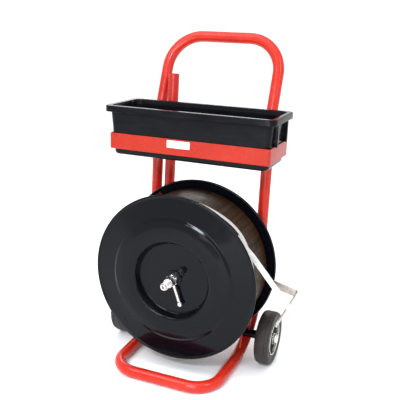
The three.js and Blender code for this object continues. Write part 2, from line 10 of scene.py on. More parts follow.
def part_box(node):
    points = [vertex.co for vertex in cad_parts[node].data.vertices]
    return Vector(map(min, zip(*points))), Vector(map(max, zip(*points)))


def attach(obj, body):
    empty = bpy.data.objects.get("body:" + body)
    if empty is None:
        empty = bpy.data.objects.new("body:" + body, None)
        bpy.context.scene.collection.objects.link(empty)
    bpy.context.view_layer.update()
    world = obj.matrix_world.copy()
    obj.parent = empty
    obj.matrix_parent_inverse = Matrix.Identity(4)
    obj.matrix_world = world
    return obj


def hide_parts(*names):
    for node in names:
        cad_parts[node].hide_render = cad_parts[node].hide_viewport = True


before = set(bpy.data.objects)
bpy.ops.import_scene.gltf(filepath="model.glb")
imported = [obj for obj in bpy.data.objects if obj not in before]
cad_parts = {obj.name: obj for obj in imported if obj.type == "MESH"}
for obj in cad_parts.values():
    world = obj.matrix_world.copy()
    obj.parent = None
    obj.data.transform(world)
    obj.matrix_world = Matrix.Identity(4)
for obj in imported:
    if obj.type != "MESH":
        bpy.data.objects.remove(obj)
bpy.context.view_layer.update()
PI = math.pi
MM = 0.001

SAME_POINT = 2e-6  # points closer than this, in metres, are joined

# ---------------------------------------------------------------- driving sizes, in millimetres

GAP = 0.3  # between pieces that touch or are welded
TUBE_R = 17
TUBE_BORE = 15
BASE_HALF = 158
BASE_BEND = 75
REAR_X = 160
REAR_Y = 305
REAR_BEND = 110
LEG_TOP_Z = 170
LEG_TOP_BEND = 200
FOOT_Z = 215
UPRIGHT_HALF = 181
UPRIGHT_Y = 310.9
LEAN = 0.058
KNEE_Z = 720
KNEE_BEND = 110
HANDLE_LEAN = 0.39
HANDLE_Z = 960.4
HANDLE_BEND = 105
CROSSBAR = 40
CROSSBAR_HALF = 152.8
CROSSBAR_Z = 115
BEAM_H = 60
BEAM_D = 40
POST_X = -136.8
POST_Z = (326, 848)
TAB_Z = (440, 480)
AXIS_Z = 295
RIM_R = 250
FRONT_RIM_Y = 81.5
BACK_RIM_Y = 274.3
SHEET = 2
EYE_DEPTH = 6.5
COIL_R = 225
CORE_R = 106
COIL_Y = (92.3, 263.5)
SHAFT_R = 12
THREAD_R = 11
LEVER_END = 68
LEVER_ANGLE = math.radians(160)
WHEEL_X = 244
WHEEL_Y = 258
TYRE_R = 81.2
WHEEL_W = 44
AXLE_R = 9
AXLE_PLATE_X = 160.5
AXLE_PLATE_T = 5
TRAY_Z = (622.6, 767)
TRAY_Y = (138, 337)
TRAY_HALF = 258
LIP = 12.5
LIP_H = 18
TRAY_WALL = 3
TRAY_DRAFT = 0.068
BAND_Z = (640.6, 686.6)
BAND_Y = (149.5, 330.2)
BAND_HALF = 244.8
BAND_T = 3
ARM_PIVOT = (181, 298, 256)
ARM_SLOPE = math.radians(14.2)
ARM_T = 4
ARM_H = 22
ARM_LENGTH = 138
ARM_INNER = 106
LEG_LENGTH = 213
ARM_BEND = 7
BOLT_R = 6
DRUM_R = 70
BRAKE_END = 292.5
STRAP_W = 16
STRAP_T = 0.9
STRAP_Y = 130
STRAP_TWIST = math.radians(58)
STRAP_ROUTE = [
    (173.1, 440.4), (186.9, 423.9), (200.8, 407.6), (214.8, 391.3), (228.9, 375.0), (243.0, 358.7),
    (257.1, 342.4), (271.2, 326.0), (285.2, 309.6), (299.1, 293.1), (313.0, 276.6), (326.9, 260.1),
    (340.9, 243.7), (355.0, 227.3), (369.2, 211.0), (383.5, 194.8),
]

# The cart's middle plane is x = 0 and the front floor tube's line is y = 0 in these sizes.
MIDDLE_X = sum(corner.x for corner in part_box("strap_coil")) / 2
FRONT_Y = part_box("base_loop_tube")[0].y + TUBE_R * MM


def place(x=0.0, y=0.0, z=0.0, turn=None):
    """Takes millimetres about a point of the cart to the row frame."""
    move = Matrix.Translation((MIDDLE_X + x * MM, FRONT_Y + y * MM, z * MM))
    return move @ (turn.to_4x4() if turn else Matrix.Identity(4)) @ Matrix.Scale(MM, 4)


def upright_y(z):
    return UPRIGHT_Y + LEAN * z


def handle_y(z):
    return upright_y(KNEE_Z) + HANDLE_LEAN * (z - KNEE_Z)


# ---------------------------------------------------------------- shapes: (points, faces)

def circle(radius, sides):
    turns = [2 * PI * k / sides for k in range(sides)]
    return [(radius * math.cos(t), radius * math.sin(t)) for t in turns]


def rounded(points, steps=5):
    """A closed outline whose corners (u, v, radius) become arcs."""
    out = []
    for i, (u, v, radius) in enumerate(points):
        here = Vector((u, v))
        back = Vector(points[i - 1][:2]) - here
        ahead = Vector(points[(i + 1) % len(points)][:2]) - here
        if radius <= 0:
            out.append((u, v))
            continue
        half = back.angle(ahead) / 2
        reach = min(radius / math.tan(half), 0.49 * back.length, 0.49 * ahead.length)
        a = here + back.normalized() * reach
        b = here + ahead.normalized() * reach
        for k in range(steps + 1):
            t = k / steps
            out.append(tuple(a * (1 - t) ** 2 + here * 2 * t * (1 - t) + b * t * t))
    return out


def rectangle(x0, x1, y0, y1, radius, steps=5):
    return rounded([(x0, y0, radius), (x1, y0, radius), (x1, y1, radius), (x0, y1, radius)], steps)


def lathe(outline, segments=96):
    """A closed outline of (radius, along) turned about the Y axis."""
    n = len(outline)
    points = []
    for c, s in circle(1, segments):
        points += [(r * c, y, r * s) for r, y in outline]
    faces = []
    for k in range(segments):
        a, b = k * n, (k + 1) % segments * n
        faces += [(a + i, a + (i + 1) % n, b + (i + 1) % n, b + i) for i in range(n)]
    return points, faces


def turned(outline, segments, steps):
    """An outline of (radius, along, rounding) with rounded corners, turned about the Y axis."""
    return lathe(rounded(outline, steps), segments)


def loft(rings, closed=False):
    """Rings of as many points each, joined in turn, and capped unless closed."""
    n = len(rings[0])
    points = [tuple(p) for ring in rings for p in ring]
    faces = []
    for k in range(len(rings) if closed else len(rings) - 1):
        a, b = k * n, (k + 1) % len(rings) * n
        faces += [(a + i, a + (i + 1) % n, b + (i + 1) % n, b + i) for i in range(n)]
    if not closed:
        faces += [tuple(range(n)), tuple(range(len(points) - n, len(points)))]
    return points, faces


def slab(outline_at, z0, z1, edge=1.0):
    """A flat plate with eased edges: outline_at(inset) gives the outline."""
    quarter = [(edge * (1 - math.sin(t)), edge * (1 - math.cos(t))) for t in (0, PI / 6, PI / 3, PI / 2)]
    rings = [[(u, v, z0 + rise) for u, v in outline_at(inset)] for inset, rise in quarter]
    rings += [[(u, v, z1 - rise) for u, v in outline_at(inset)] for inset, rise in reversed(quarter)]
    return loft(rings)


def block(x0, x1, y0, y1, z0, z1, radius=3.0, edge=1.0):
    return slab(lambda i: rectangle(x0 + i, x1 - i, y0 + i, y1 - i, max(radius - i, 0.2)), z0, z1, edge)


def bent(corners, step=math.radians(5)):
    """Straight runs joined by arcs, through corners of (point, bend radius)."""
    line = [Vector(corners[0][0])]
    for (before, _), (here, radius), (after, _) in zip(corners, corners[1:], corners[2:]):
        here = Vector(here)
        a = (Vector(before) - here).normalized()
        b = (Vector(after) - here).normalized()
        turn = PI - a.angle(b)
        start = here + a * radius * math.tan(turn / 2)
        centre = here + (a + b).normalized() * radius / math.cos(turn / 2)
        axis = b.cross(a).normalized()
        steps = max(3, math.ceil(turn / step))
        arc = [Matrix.Rotation(turn * k / steps, 3, axis) for k in range(steps + 1)]
        line += [centre + rotation @ (start - centre) for rotation in arc]
    return line + [Vector(corners[-1][0])]


def sections(line, outline, side, sizes=None):
    """The outline (across, up) carried along a line without twist."""
    rings = []
    side = Vector(side)
    for i, p in enumerate(line):
        ahead = (line[min(i + 1, len(line) - 1)] - line[max(i - 1, 0)]).normalized()
        side = (side - ahead * side.dot(ahead)).normalized()
        up = ahead.cross(side)
        size = sizes[i] if sizes else 1
        rings.append([p + side * u * size + up * v * size for u, v in outline])
    return rings


def sweep(line, outline, side=(1, 0, 0), sizes=None, closed=False):
    return loft(sections(line, outline, side, sizes), closed)


def hollow(line, outer, inner, side=(1, 0, 0)):
    """A tube with open ends, from two outlines of as many points."""
    out = sections(line, outer, side)
    return loft(out + sections(line, inner, side)[::-1], closed=True)


def pipe(line, outer=TUBE_R, inner=TUBE_BORE):
    sides = 40
    return hollow(line, circle(outer, sides), circle(inner, sides))


def merged(*shapes):
    points, faces = [], []
    for some, joined in shapes:
        base = len(points)
        points += some
        faces += [tuple(i + base for i in face) for face in joined]
    return points, faces


def moved(shape, matrix):
    return [matrix @ Vector(p) for p in shape[0]], shape[1]


def bead(line, radius=2.3, closed=False, seed=0):
    """A weld bead: overlapping ripples along a line."""
    draw = random.Random(seed)
    sizes = [1 + 0.14 * math.sin(k * 2.1) + draw.uniform(-0.07, 0.07) for k in range(len(line))]
    if not closed:
        sizes[0] = sizes[-1] = 0.4
    return sweep([Vector(p) for p in line], circle(radius, 10), (0.3, 0.5, 0.8), sizes, closed)


def straight(a, b, count):
    a, b = Vector(a), Vector(b)
    return [a.lerp(b, k / count) for k in range(count + 1)]


# ---------------------------------------------------------------- pieces

def clean_mesh(name, shape, matrix):
    """A mesh in the row frame, with shared points joined and its faces turned outwards."""
    points, faces = shape
    mesh = bpy.data.meshes.new(name)
    mesh.from_pydata([matrix @ Vector(p) for p in points], [], faces)
    bm = bmesh.new()
    bm.from_mesh(mesh)
    bmesh.ops.remove_doubles(bm, verts=bm.verts, dist=SAME_POINT)
    bmesh.ops.recalc_face_normals(bm, faces=bm.faces)
    bm.to_mesh(mesh)
    bm.free()
    return mesh


def add_object(name, data):
    thing = bpy.data.objects.new(name, data)
    bpy.context.scene.collection.objects.link(thing)
    return thing


def shade(mesh, angle):
    mesh.polygons.foreach_set("use_smooth", [True] * len(mesh.polygons))
    mesh.set_sharp_from_angle(angle=math.radians(angle))


def make(name, shape, matrix, look, body, nodes=(), angle=32):
    """A mesh piece in the row frame that rides on a body and stands for CAD nodes."""
    material, slot = look
    mesh = clean_mesh(name, shape, matrix)
    shade(mesh, angle)
    mesh.materials.append(material)
    piece = add_object(name, mesh)
    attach(piece, body)
    if nodes:
        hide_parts(*([nodes] if isinstance(nodes, str) else nodes))
    return piece


def drill(piece, shape, matrix, angle=32):
    """Cuts a shape out of a piece."""
    cutter = add_object("cutter", clean_mesh("cutter", shape, matrix))
    boolean = piece.modifiers.new("drill", "BOOLEAN")
    boolean.operation = "DIFFERENCE"
    boolean.solver = "EXACT"
    boolean.object = cutter
    bpy.context.view_layer.update()
    graph = bpy.context.evaluated_depsgraph_get()
    cut = bpy.data.meshes.new_from_object(piece.evaluated_get(graph))
    piece.modifiers.clear()
    piece.data = cut
    shade(cut, angle)
    bpy.data.objects.remove(cutter)


def rod(radius, y0, y1, segments=32):
    return lathe([(0, y0), (radius, y0), (radius, y1), (0, y1)], segments)


def hexagon(bore, corner, y0, y1, chamfer=1.2):
    """A hexagonal nut along Y with chamfered corners, or a bolt head if bore is 0."""
    segments = 72
    flat = corner * math.cos(PI / 6)
    rings = []
    outline = [(bore, y0), (flat - chamfer, y0), (flat, y0 + chamfer * 0.3), (corner, y0 + chamfer),
               (corner, y1 - chamfer), (flat, y1 - chamfer * 0.3), (flat - chamfer, y1), (bore, y1)]
    for k in range(segments):
        t = 2 * PI * k / segments
        wedge = (t + PI / 6) % (PI / 3) - PI / 6
        reach = flat / math.cos(wedge)
        rings.append([(min(r, reach) * math.cos(t), y, min(r, reach) * math.sin(t)) for r, y in outline])
    return loft(rings, closed=True)


# ---------------------------------------------------------------- materials

class Nodes:
    """A small helper round a material's node tree, on object coordinates in metres."""

    def __init__(self, name):
        self.material = bpy.data.materials.new(name)
        self.material.use_nodes = True
        self.tree = self.material.node_tree
        self.shader = self.tree.nodes["Principled BSDF"]
        self.where = self.tree.nodes.new("ShaderNodeTexCoord").outputs["Object"]

    def add(self, kind, settings=(), **sockets):
        node = self.tree.nodes.new(kind)
        for key, value in settings:
            setattr(node, key, value)
        for key, value in sockets.items():
            self.feed(node, key, value)
        return node

    def feed(self, node, key, value):
        """Sets or links an input, called by its name with _ for a space, or by number as i0, i6, i7."""
        if key[0] == "i" and key[1:].isdigit():
            socket = node.inputs[int(key[1:])]
        else:
            socket = node.inputs[key.replace("_", " ")]
        if isinstance(value, bpy.types.NodeSocket):
            self.tree.links.new(value, socket)
        else:
            socket.default_value = value

    def stretched(self, scale):
        return self.add("ShaderNodeMapping", Vector=self.where, Scale=scale).outputs[0]

    def noise(self, scale, detail=3.0, where=None, rough=0.55):
        return self.add("ShaderNodeTexNoise", Vector=where or self.where, Scale=scale, Detail=detail,
                        Roughness=rough).outputs[0]

    def cells(self, scale, output="Distance"):
        return self.add("ShaderNodeTexVoronoi", Vector=self.where, Scale=scale).outputs[output]

    def emboss(self, scale):
        return self.add("ShaderNodeTexVoronoi", [("feature", "DISTANCE_TO_EDGE")], Vector=self.where,
                        Scale=scale).outputs[0]

    def span(self, value, low, high, start=0.3, end=0.7):
        return self.add("ShaderNodeMapRange", Value=value, From_Min=start, From_Max=end, To_Min=low,
                        To_Max=high).outputs[0]

    def mix(self, factor, a, b):
        return self.add("ShaderNodeMix", [("data_type", "RGBA")], i0=factor, i6=a, i7=b).outputs[2]

    def bump(self, height, strength, distance, onto=None):
        node = self.add("ShaderNodeBump", Height=height, Strength=strength, Distance=distance)
        if onto:
            self.feed(node, "Normal", onto)
        return node.outputs[0]

    def done(self, slot, color, roughness, normal=None, **fixed):
        self.feed(self.shader, "Base_Color", color)
        self.feed(self.shader, "Roughness", roughness)
        if normal:
            self.feed(self.shader, "Normal", normal)
        for key, value in fixed.items():
            self.shader.inputs[key.replace("_", " ")].default_value = value
        return self.material, slot


def rgb(r, g, b):
    return (r, g, b, 1.0)


def red_paint(name="red_powder_coat", light=0.0, tone=1.0, coat=0.16, gloss=0.27):
    """Glossy powder coat: orange peel, cloudy tone, rubbed patches and a few fine scratches."""
    n = Nodes(name)
    cloud = n.noise(9, 4)
    # tone below 1 darkens the whole coat and light above 0 pales it; the band's copy uses both as painted
    # shade on the same powder coat
    deep = rgb(0.44 * tone, 0.012 + light, 0.004 + light)
    bright = rgb(0.52 * tone, 0.021 + light, 0.008 + light)
    color = n.mix(n.span(cloud, 0, 1), deep, bright)
    scuff = n.noise(70, 6, n.stretched((1, 1, 0.25)), 0.7)
    color = n.mix(n.span(scuff, 0, 0.22, 0.66, 0.8), color, rgb(0.30 * tone, 0.012, 0.007))
    rough = n.span(n.noise(38, 5), 0.2, 0.3)
    peel = n.bump(n.noise(620, 2), 0.12, 0.0003)
    waves = n.bump(n.noise(45, 2), 0.06, 0.0012, peel)
    return n.done("frame_red", color, rough, waves, Coat_Weight=coat, Coat_Roughness=0.06,
                  Specular_IOR_Level=gloss)


def black_enamel():
    """Stoved black enamel on pressed sheet: slow waviness, dust and fine wipe marks."""
    n = Nodes("black_enamel")
    dust = n.span(n.noise(260, 6, rough=0.75), 0, 0.5, 0.58, 0.78)
    color = n.mix(dust, rgb(0.0025, 0.0026, 0.0042), rgb(0.014, 0.012, 0.011))
    rough = n.span(n.noise(26, 5), 0.05, 0.12)
    peel = n.bump(n.noise(480, 2), 0.10, 0.0003)
    sheet = n.bump(n.noise(9, 2), 0.4, 0.006, peel)
    return n.done("flange_black", color, rough, sheet, Specular_IOR_Level=0.15)


def black_plastic():
    """Polished moulded plastic: flow lines, faint sink and handling marks."""
    n = Nodes("black_moulded_plastic")
    flow = n.noise(14, 4, n.stretched((1, 1, 5)))
    color = n.mix(n.span(flow, 0, 1), rgb(0.0028, 0.0028, 0.004), rgb(0.007, 0.007, 0.009))
    rough = n.span(n.noise(60, 6), 0.10, 0.20)
    grain = n.bump(n.noise(900, 2), 0.12, 0.0003)
    sink = n.bump(n.noise(9, 1), 0.18, 0.003, grain)
    return n.done("tray_black", color, rough, sink, Specular_IOR_Level=0.10)


def rubber():
    """Solid rubber: matt, dusty on the tread, with mould grain."""
    n = Nodes("tyre_rubber")
    dust = n.span(n.noise(90, 6, rough=0.7), 0, 0.8, 0.42, 0.75)
    color = n.mix(dust, rgb(0.013, 0.010, 0.0085), rgb(0.040, 0.031, 0.025))
    rough = n.span(n.noise(40, 4), 0.42, 0.66)
    grain = n.bump(n.noise(1300, 3), 0.35, 0.0004)
    return n.done("tyre", color, rough, n.bump(n.noise(120, 3), 0.2, 0.0008, grain), Specular_IOR_Level=0.35)


def hub_plastic():
    n = Nodes("hub_plastic")
    color = n.mix(n.span(n.noise(50, 5), 0, 1), rgb(0.012, 0.011, 0.0105), rgb(0.030, 0.027, 0.025))
    rough = n.span(n.noise(110, 4), 0.38, 0.6)
    return n.done("hub_plastic", color, rough, n.bump(n.noise(1100, 2), 0.3, 0.0003))


def zinc(name="zinc_plate", tint=(1, 1, 1)):
    """Bright zinc: soft crystals, rolling marks and dull spots."""
    n = Nodes(name)
    crystal = n.cells(150, "Color")
    grey = n.add("ShaderNodeSeparateColor", Color=crystal).outputs[0]
    dark = rgb(0.66 * tint[0], 0.65 * tint[1], 0.63 * tint[2])
    pale = rgb(0.80 * tint[0], 0.79 * tint[1], 0.77 * tint[2])
    color = n.mix(n.span(grey, 0.25, 0.75, 0, 1), dark, pale)
    dull = n.span(n.noise(170, 5, rough=0.7), 0, 0.5, 0.5, 0.72)
    color = n.mix(dull, color, rgb(0.55 * tint[0], 0.52 * tint[1], 0.49 * tint[2]))
    rough = n.span(n.noise(75, 5), 0.24, 0.38)
    marks = n.bump(n.noise(300, 3, n.stretched((0.12, 1, 1))), 0.05, 0.0002)
    return n.done("zinc", color, rough, marks, Metallic=1.0)


def steel():
    """Turned steel: fine rings round the part and a trace of oil."""
    n = Nodes("turned_steel")
    rings = n.noise(1500, 3, n.stretched((0.06, 1, 0.06)))
    oil = n.span(n.noise(60, 4), 0, 0.6, 0.5, 0.7)
    color = n.mix(n.span(rings, 0, 1), rgb(0.56, 0.54, 0.52), rgb(0.74, 0.71, 0.68))
    color = n.mix(oil, color, rgb(0.52, 0.43, 0.34))
    rough = n.span(n.noise(200, 4), 0.2, 0.38)
    return n.done("steel", color, rough, n.bump(rings, 0.08, 0.0001), Metallic=1.0)


def strap_dark():
    """Wound strap: embossed diamonds, tone that changes from turn to turn, waxy gloss."""
    n = Nodes("strap_dark")
    turn = n.noise(160, 3, n.stretched((1, 0.02, 1)))
    color = n.mix(n.span(turn, 0, 1, 0.35, 0.65), rgb(0.0035, 0.002, 0.001), rgb(0.050, 0.022, 0.008))
    rough = n.span(n.noise(45, 5), 0.32, 0.5)
    return n.done("strap_dark", color, rough, n.bump(n.emboss(420), 0.15, 0.0002), Specular_IOR_Level=0.08)


def strap_pale():
    """The strap end and its last wrap: painted highlight, the dark strap coloured pale where it catches the
    light, slightly brushed lengthways, with a waffle emboss.
    """
    n = Nodes("strap_pale")
    brushed = n.noise(300, 4, n.stretched((1, 0.08, 1)))
    # Pale greys as painted highlight: the strap itself is the same dark strap as the coil.
    color = n.mix(n.span(brushed, 0, 1), rgb(0.50, 0.485, 0.47), rgb(0.64, 0.625, 0.605))
    rough = n.span(n.noise(90, 4), 0.24, 0.42)
    return n.done("strap_pale", color, rough, n.bump(n.emboss(520), 0.25, 0.0002), Metallic=0.15)


def cardboard():
    n = Nodes("cardboard")
    fibres = n.noise(700, 5, n.stretched((1, 0.1, 1)), 0.7)
    color = n.mix(n.span(fibres, 0, 1), rgb(0.20, 0.12, 0.065), rgb(0.34, 0.22, 0.13))
    return n.done("cardboard", color, n.span(fibres, 0.75, 0.95), n.bump(fibres, 0.3, 0.0004))


def friction():
    n = Nodes("friction_lining")
    flecks = n.cells(700)
    color = n.mix(n.span(flecks, 0, 1, 0.1, 0.5), rgb(0.10, 0.062, 0.04), rgb(0.035, 0.025, 0.02))
    return n.done("friction", color, n.span(flecks, 0.8, 0.95), n.bump(flecks, 0.4, 0.0004))


def paper():
    n = Nodes("blank_label")
    fibres = n.noise(900, 4)
    color = n.mix(n.span(fibres, 0, 1), rgb(0.80, 0.79, 0.78), rgb(0.90, 0.89, 0.89))
    return n.done("label", color, n.span(n.noise(120, 3), 0.3, 0.5), n.bump(fibres, 0.1, 0.0001))


RED = red_paint()
# The band's red is painted shade: the frame's powder coat made darker and a little paler to offset the
# strong light on the band's front.
BAND_RED_PAINTED_SHADE = red_paint("red_powder_coat_band_painted_shade", 0.004, 0.76, 0.06, 0.2)
BLACK = black_enamel()
PLASTIC = black_plastic()
RUBBER = rubber()
HUB = hub_plastic()
ZINC = zinc()
DULL_ZINC = zinc("dull_zinc", (0.66, 0.61, 0.57))
STEEL = steel()
DARK = strap_dark()
STRAP_PAINTED_HIGHLIGHT = strap_pale()
CARD = cardboard()
LINING = friction()
PAPER = paper()

# ---------------------------------------------------------------- camera, placed in millimetres

CAMERA_AT = (695.5, -1438.5, 1024.4)
AZIMUTH = math.radians(22.17)
ELEVATION = math.radians(16.36)
ROLL = math.radians(1.79)
LENS = 56.74


def build_camera():
    forward = Vector((-math.sin(AZIMUTH) * math.cos(ELEVATION), math.cos(AZIMUTH) * math.cos(ELEVATION),
                      -math.sin(ELEVATION)))
    level = Vector((math.cos(AZIMUTH), math.sin(AZIMUTH), 0))
    upward = level.cross(forward)
    right = level * math.cos(ROLL) + upward * math.sin(ROLL)
    up = upward * math.cos(ROLL) - level * math.sin(ROLL)
    data = bpy.data.cameras.new("camera")
    data.lens = LENS
    data.sensor_width = 36
    data.clip_end = 200
    camera = add_object("camera", data)
    turn = Matrix((right, up, -forward)).transposed()
    camera.matrix_world = Matrix.Translation(place(*CAMERA_AT).translation) @ turn.to_4x4()
    bpy.context.scene.camera = camera


# ---------------------------------------------------------------- strap end

def build_strap():
    line = [Vector((x, STRAP_Y, z)) for x, z in STRAP_ROUTE]
    fine = []
    for a, b in zip(line, line[1:]):
        fine += [a.lerp(b, k / 4) for k in range(4)]
    fine.append(line[-1])
    outline = rectangle(-STRAP_W / 2, STRAP_W / 2, -STRAP_T / 2, STRAP_T / 2, 0.3, 2)
    along = (fine[-1] - fine[0]).normalized()
    twist_from, twist_over = 0.06, 0.22
    rings = []
    for k, p in enumerate(fine):
        t = min(1, max(0, (k / (len(fine) - 1) - twist_from) / twist_over))
        twist = Matrix.Rotation(STRAP_TWIST * t * t * (3 - 2 * t), 3, along)
        across = twist @ Vector((0, 1, 0))
        outward = along.cross(across)
        rings.append([p + across * u + outward * v for u, v in outline])
    # The strap end is coloured as a pale painted highlight on what is dark strap.
    end = make("strap_end", loft(rings), place(), STRAP_PAINTED_HIGHLIGHT, "frame", "strap_tail")
    # The last wrap lies on the coil, past both sides of where the strap end leaves it; like the strap end it
    # is coloured as a pale painted highlight on what is dark strap.
    leaves = math.atan2(STRAP_ROUTE[0][1] - AXIS_Z, STRAP_ROUTE[0][0])
    begins = leaves - 0.50
    span = PI * 0.62
    steps, lean = 72, 18
    rings = []
    for k in range(steps + 1):
        t = begins + span * k / steps
        middle = STRAP_Y + 1 + lean * math.exp(-((t - leaves) / 0.36) ** 2)
        strip = [(middle + u, COIL_R + 1.0 + v) for u, v in outline]
        rings.append([(r * math.cos(t), y, r * math.sin(t)) for y, r in strip])
    make("strap_last_wrap", loft(rings), place(0, 0, AXIS_Z), STRAP_PAINTED_HIGHLIGHT, "frame")


# ---------------------------------------------------------------- welded frame

def build_base():
    def leg(side):
        return [((side * UPRIGHT_HALF, upright_y(FOOT_Z), FOOT_Z), 0),
                ((side * UPRIGHT_HALF, upright_y(LEG_TOP_Z), LEG_TOP_Z), LEG_TOP_BEND),
                ((side * REAR_X, REAR_Y, TUBE_R), REAR_BEND),
                ((side * BASE_HALF, 0, TUBE_R), BASE_BEND)]

    line = bent(leg(-1) + leg(1)[::-1])
    make("floor_loop", pipe(line), place(), RED, "frame", "base_loop_tube")
    y = upright_y(CROSSBAR_Z)
    line = [Vector((-CROSSBAR_HALF, y, CROSSBAR_Z)), Vector((CROSSBAR_HALF, y, CROSSBAR_Z))]
    edge = CROSSBAR / 2
    bore = edge - 2.5
    outer = rectangle(-edge, edge, -edge, edge, 4)
    inner = rectangle(-bore, bore, -bore, bore, 2)
    make("crossbar", hollow(line, outer, inner, (0, 1, 0)), place(), RED, "frame", "rear_crossbar")


def build_main_tube():
    foot = FOOT_Z + GAP
    line = bent([
        ((-UPRIGHT_HALF, upright_y(foot), foot), 0),
        ((-UPRIGHT_HALF, upright_y(KNEE_Z), KNEE_Z), KNEE_BEND),
        ((-UPRIGHT_HALF, handle_y(HANDLE_Z), HANDLE_Z), HANDLE_BEND),
        ((UPRIGHT_HALF, handle_y(HANDLE_Z), HANDLE_Z), HANDLE_BEND),
        ((UPRIGHT_HALF, upright_y(KNEE_Z), KNEE_Z), KNEE_BEND),
        ((UPRIGHT_HALF, upright_y(foot), foot), 0),
    ])
    make("uprights_and_handle", pipe(line), place(), RED, "frame",
         ("upright_left", "upright_right", "handle_tube"))


def build_beam():
    y = upright_y(AXIS_Z)
    half = UPRIGHT_HALF - TUBE_R - GAP
    line = [Vector((-half, y, AXIS_Z)), Vector((half, y, AXIS_Z))]
    across, up, wall = BEAM_D / 2, BEAM_H / 2, 3
    outer = rectangle(-across, across, -up, up, 5)
    inner = rectangle(-across + wall, across - wall, -up + wall, up - wall, 2.5)
    beam = make("beam", hollow(line, outer, inner, (0, 1, 0)), place(), RED, "frame", "spindle_beam")
    drill(beam, rod(15, y - BEAM_D, y + BEAM_D), place(0, 0, AXIS_Z))


def build_post():
    line = [Vector((POST_X, upright_y(z), z)) for z in POST_Z]
    make("post", pipe(line, TUBE_R - 0.5, TUBE_BORE - 0.5), place(), RED, "frame", "tool_post")
    x = (POST_X - UPRIGHT_HALF) / 2
    low_z, high_z = TAB_Z
    y = upright_y(low_z)
    low = block(x - 4.5, x + 4.5, y - 3, y + 3, low_z, high_z, 0.8, 0.6)
    make("post_link_low", low, place(), RED, "frame", "post_tab_lower")
    top = 818
    turn = Matrix.Rotation(math.atan2(handle_y(top) - upright_y(top), -UPRIGHT_HALF - POST_X), 3, "Z")
    high = block(-8, 8, -2.5, 2.5, -10, 10, 0.8, 0.6)
    make("post_link_high", high, place(x, (handle_y(top) + upright_y(top)) / 2, top, turn), RED, "frame",
         "post_tab_upper")


def build_axle_plates():
    lug_r = 20
    bend_y, bend_z = REAR_Y - REAR_BEND * 0.9, TUBE_R + REAR_BEND
    edge = REAR_BEND - TUBE_R - 2 * GAP
    arc = [(bend_y + edge * math.cos(t), bend_z + edge * math.sin(t))
           for t in (-1.3 + 1.16 * k / 20 for k in range(21))]
    lug = [(WHEEL_Y + lug_r * math.cos(t), TYRE_R + lug_r * math.sin(t))
           for t in (PI * (1 / 3 + 13 / 15 * k / 20) for k in range(21))]
    corners = arc + lug
    centre = Vector((WHEEL_Y, TYRE_R - 2))

    def outline(inset):
        shrunk = [Vector(p) + (centre - Vector(p)).normalized() * inset for p in corners]
        return [(p.x, p.y) for p in shrunk]

    stand = Matrix(((0, 0, 1), (1, 0, 0), (0, 1, 0)))
    for side, name in ((-1, "left"), (1, "right")):
        x = AXLE_PLATE_X if side > 0 else -AXLE_PLATE_X - AXLE_PLATE_T
        plate = make(f"wheel_plate_{name}", slab(outline, 0, AXLE_PLATE_T, 0.8), place(x, 0, 0, stand), RED,
                     "frame", f"axle_plate_{name}")
        drill(plate, rod(AXLE_R + GAP, -20, 20), place(x, WHEEL_Y, TYRE_R, Matrix.Rotation(PI / 2, 3, "Z")))


def build_welds():
    beads = []
    for side in (-1, 1):
        x, y = side * UPRIGHT_HALF, upright_y(FOOT_Z)
        foot = [(x + u, y + v, FOOT_Z) for u, v in circle(TUBE_R - 0.4, 44)]
        beads.append(bead(foot, 1.9, closed=True, seed=side))
        x, y = side * (CROSSBAR_HALF + 1), upright_y(CROSSBAR_Z) - 4
        for z in (CROSSBAR_Z - CROSSBAR / 2, CROSSBAR_Z + CROSSBAR / 2):
            beads.append(bead(straight((x, y - 10, z), (x, y + 10, z), 12), 2.2, seed=int(z) + side))
        x = side * (UPRIGHT_HALF - TUBE_R + 3)
        for y in (upright_y(AXIS_Z) - 18.5, upright_y(AXIS_Z) + 18.5):
            line = straight((x, y, AXIS_Z - 26), (x, y, AXIS_Z + 26), 26)
            beads.append(bead(line, 2.4, seed=int(y) + side))
        x = side * (UPRIGHT_HALF - TUBE_R - 0.5)
        for z in (AXIS_Z - BEAM_H / 2, AXIS_Z + BEAM_H / 2):
            line = straight((x, upright_y(z) - 12, z), (x, upright_y(z) + 12, z), 12)
            beads.append(bead(line, 2.2, seed=int(z) + side))
    low_z, high_z = TAB_Z
    for x in (POST_X - 15.5, -UPRIGHT_HALF + 15.5):
        for dy in (-6, 6):
            y = upright_y((low_z + high_z) / 2) + dy
            line = straight((x, y, low_z + 2), (x, y + 2, high_z - 2), 18)
            beads.append(bead(line, 1.7, seed=int(x) + dy))
    make("weld_beads", merged(*beads), place(), RED, "frame", angle=60)


# ---------------------------------------------------------------- wheels

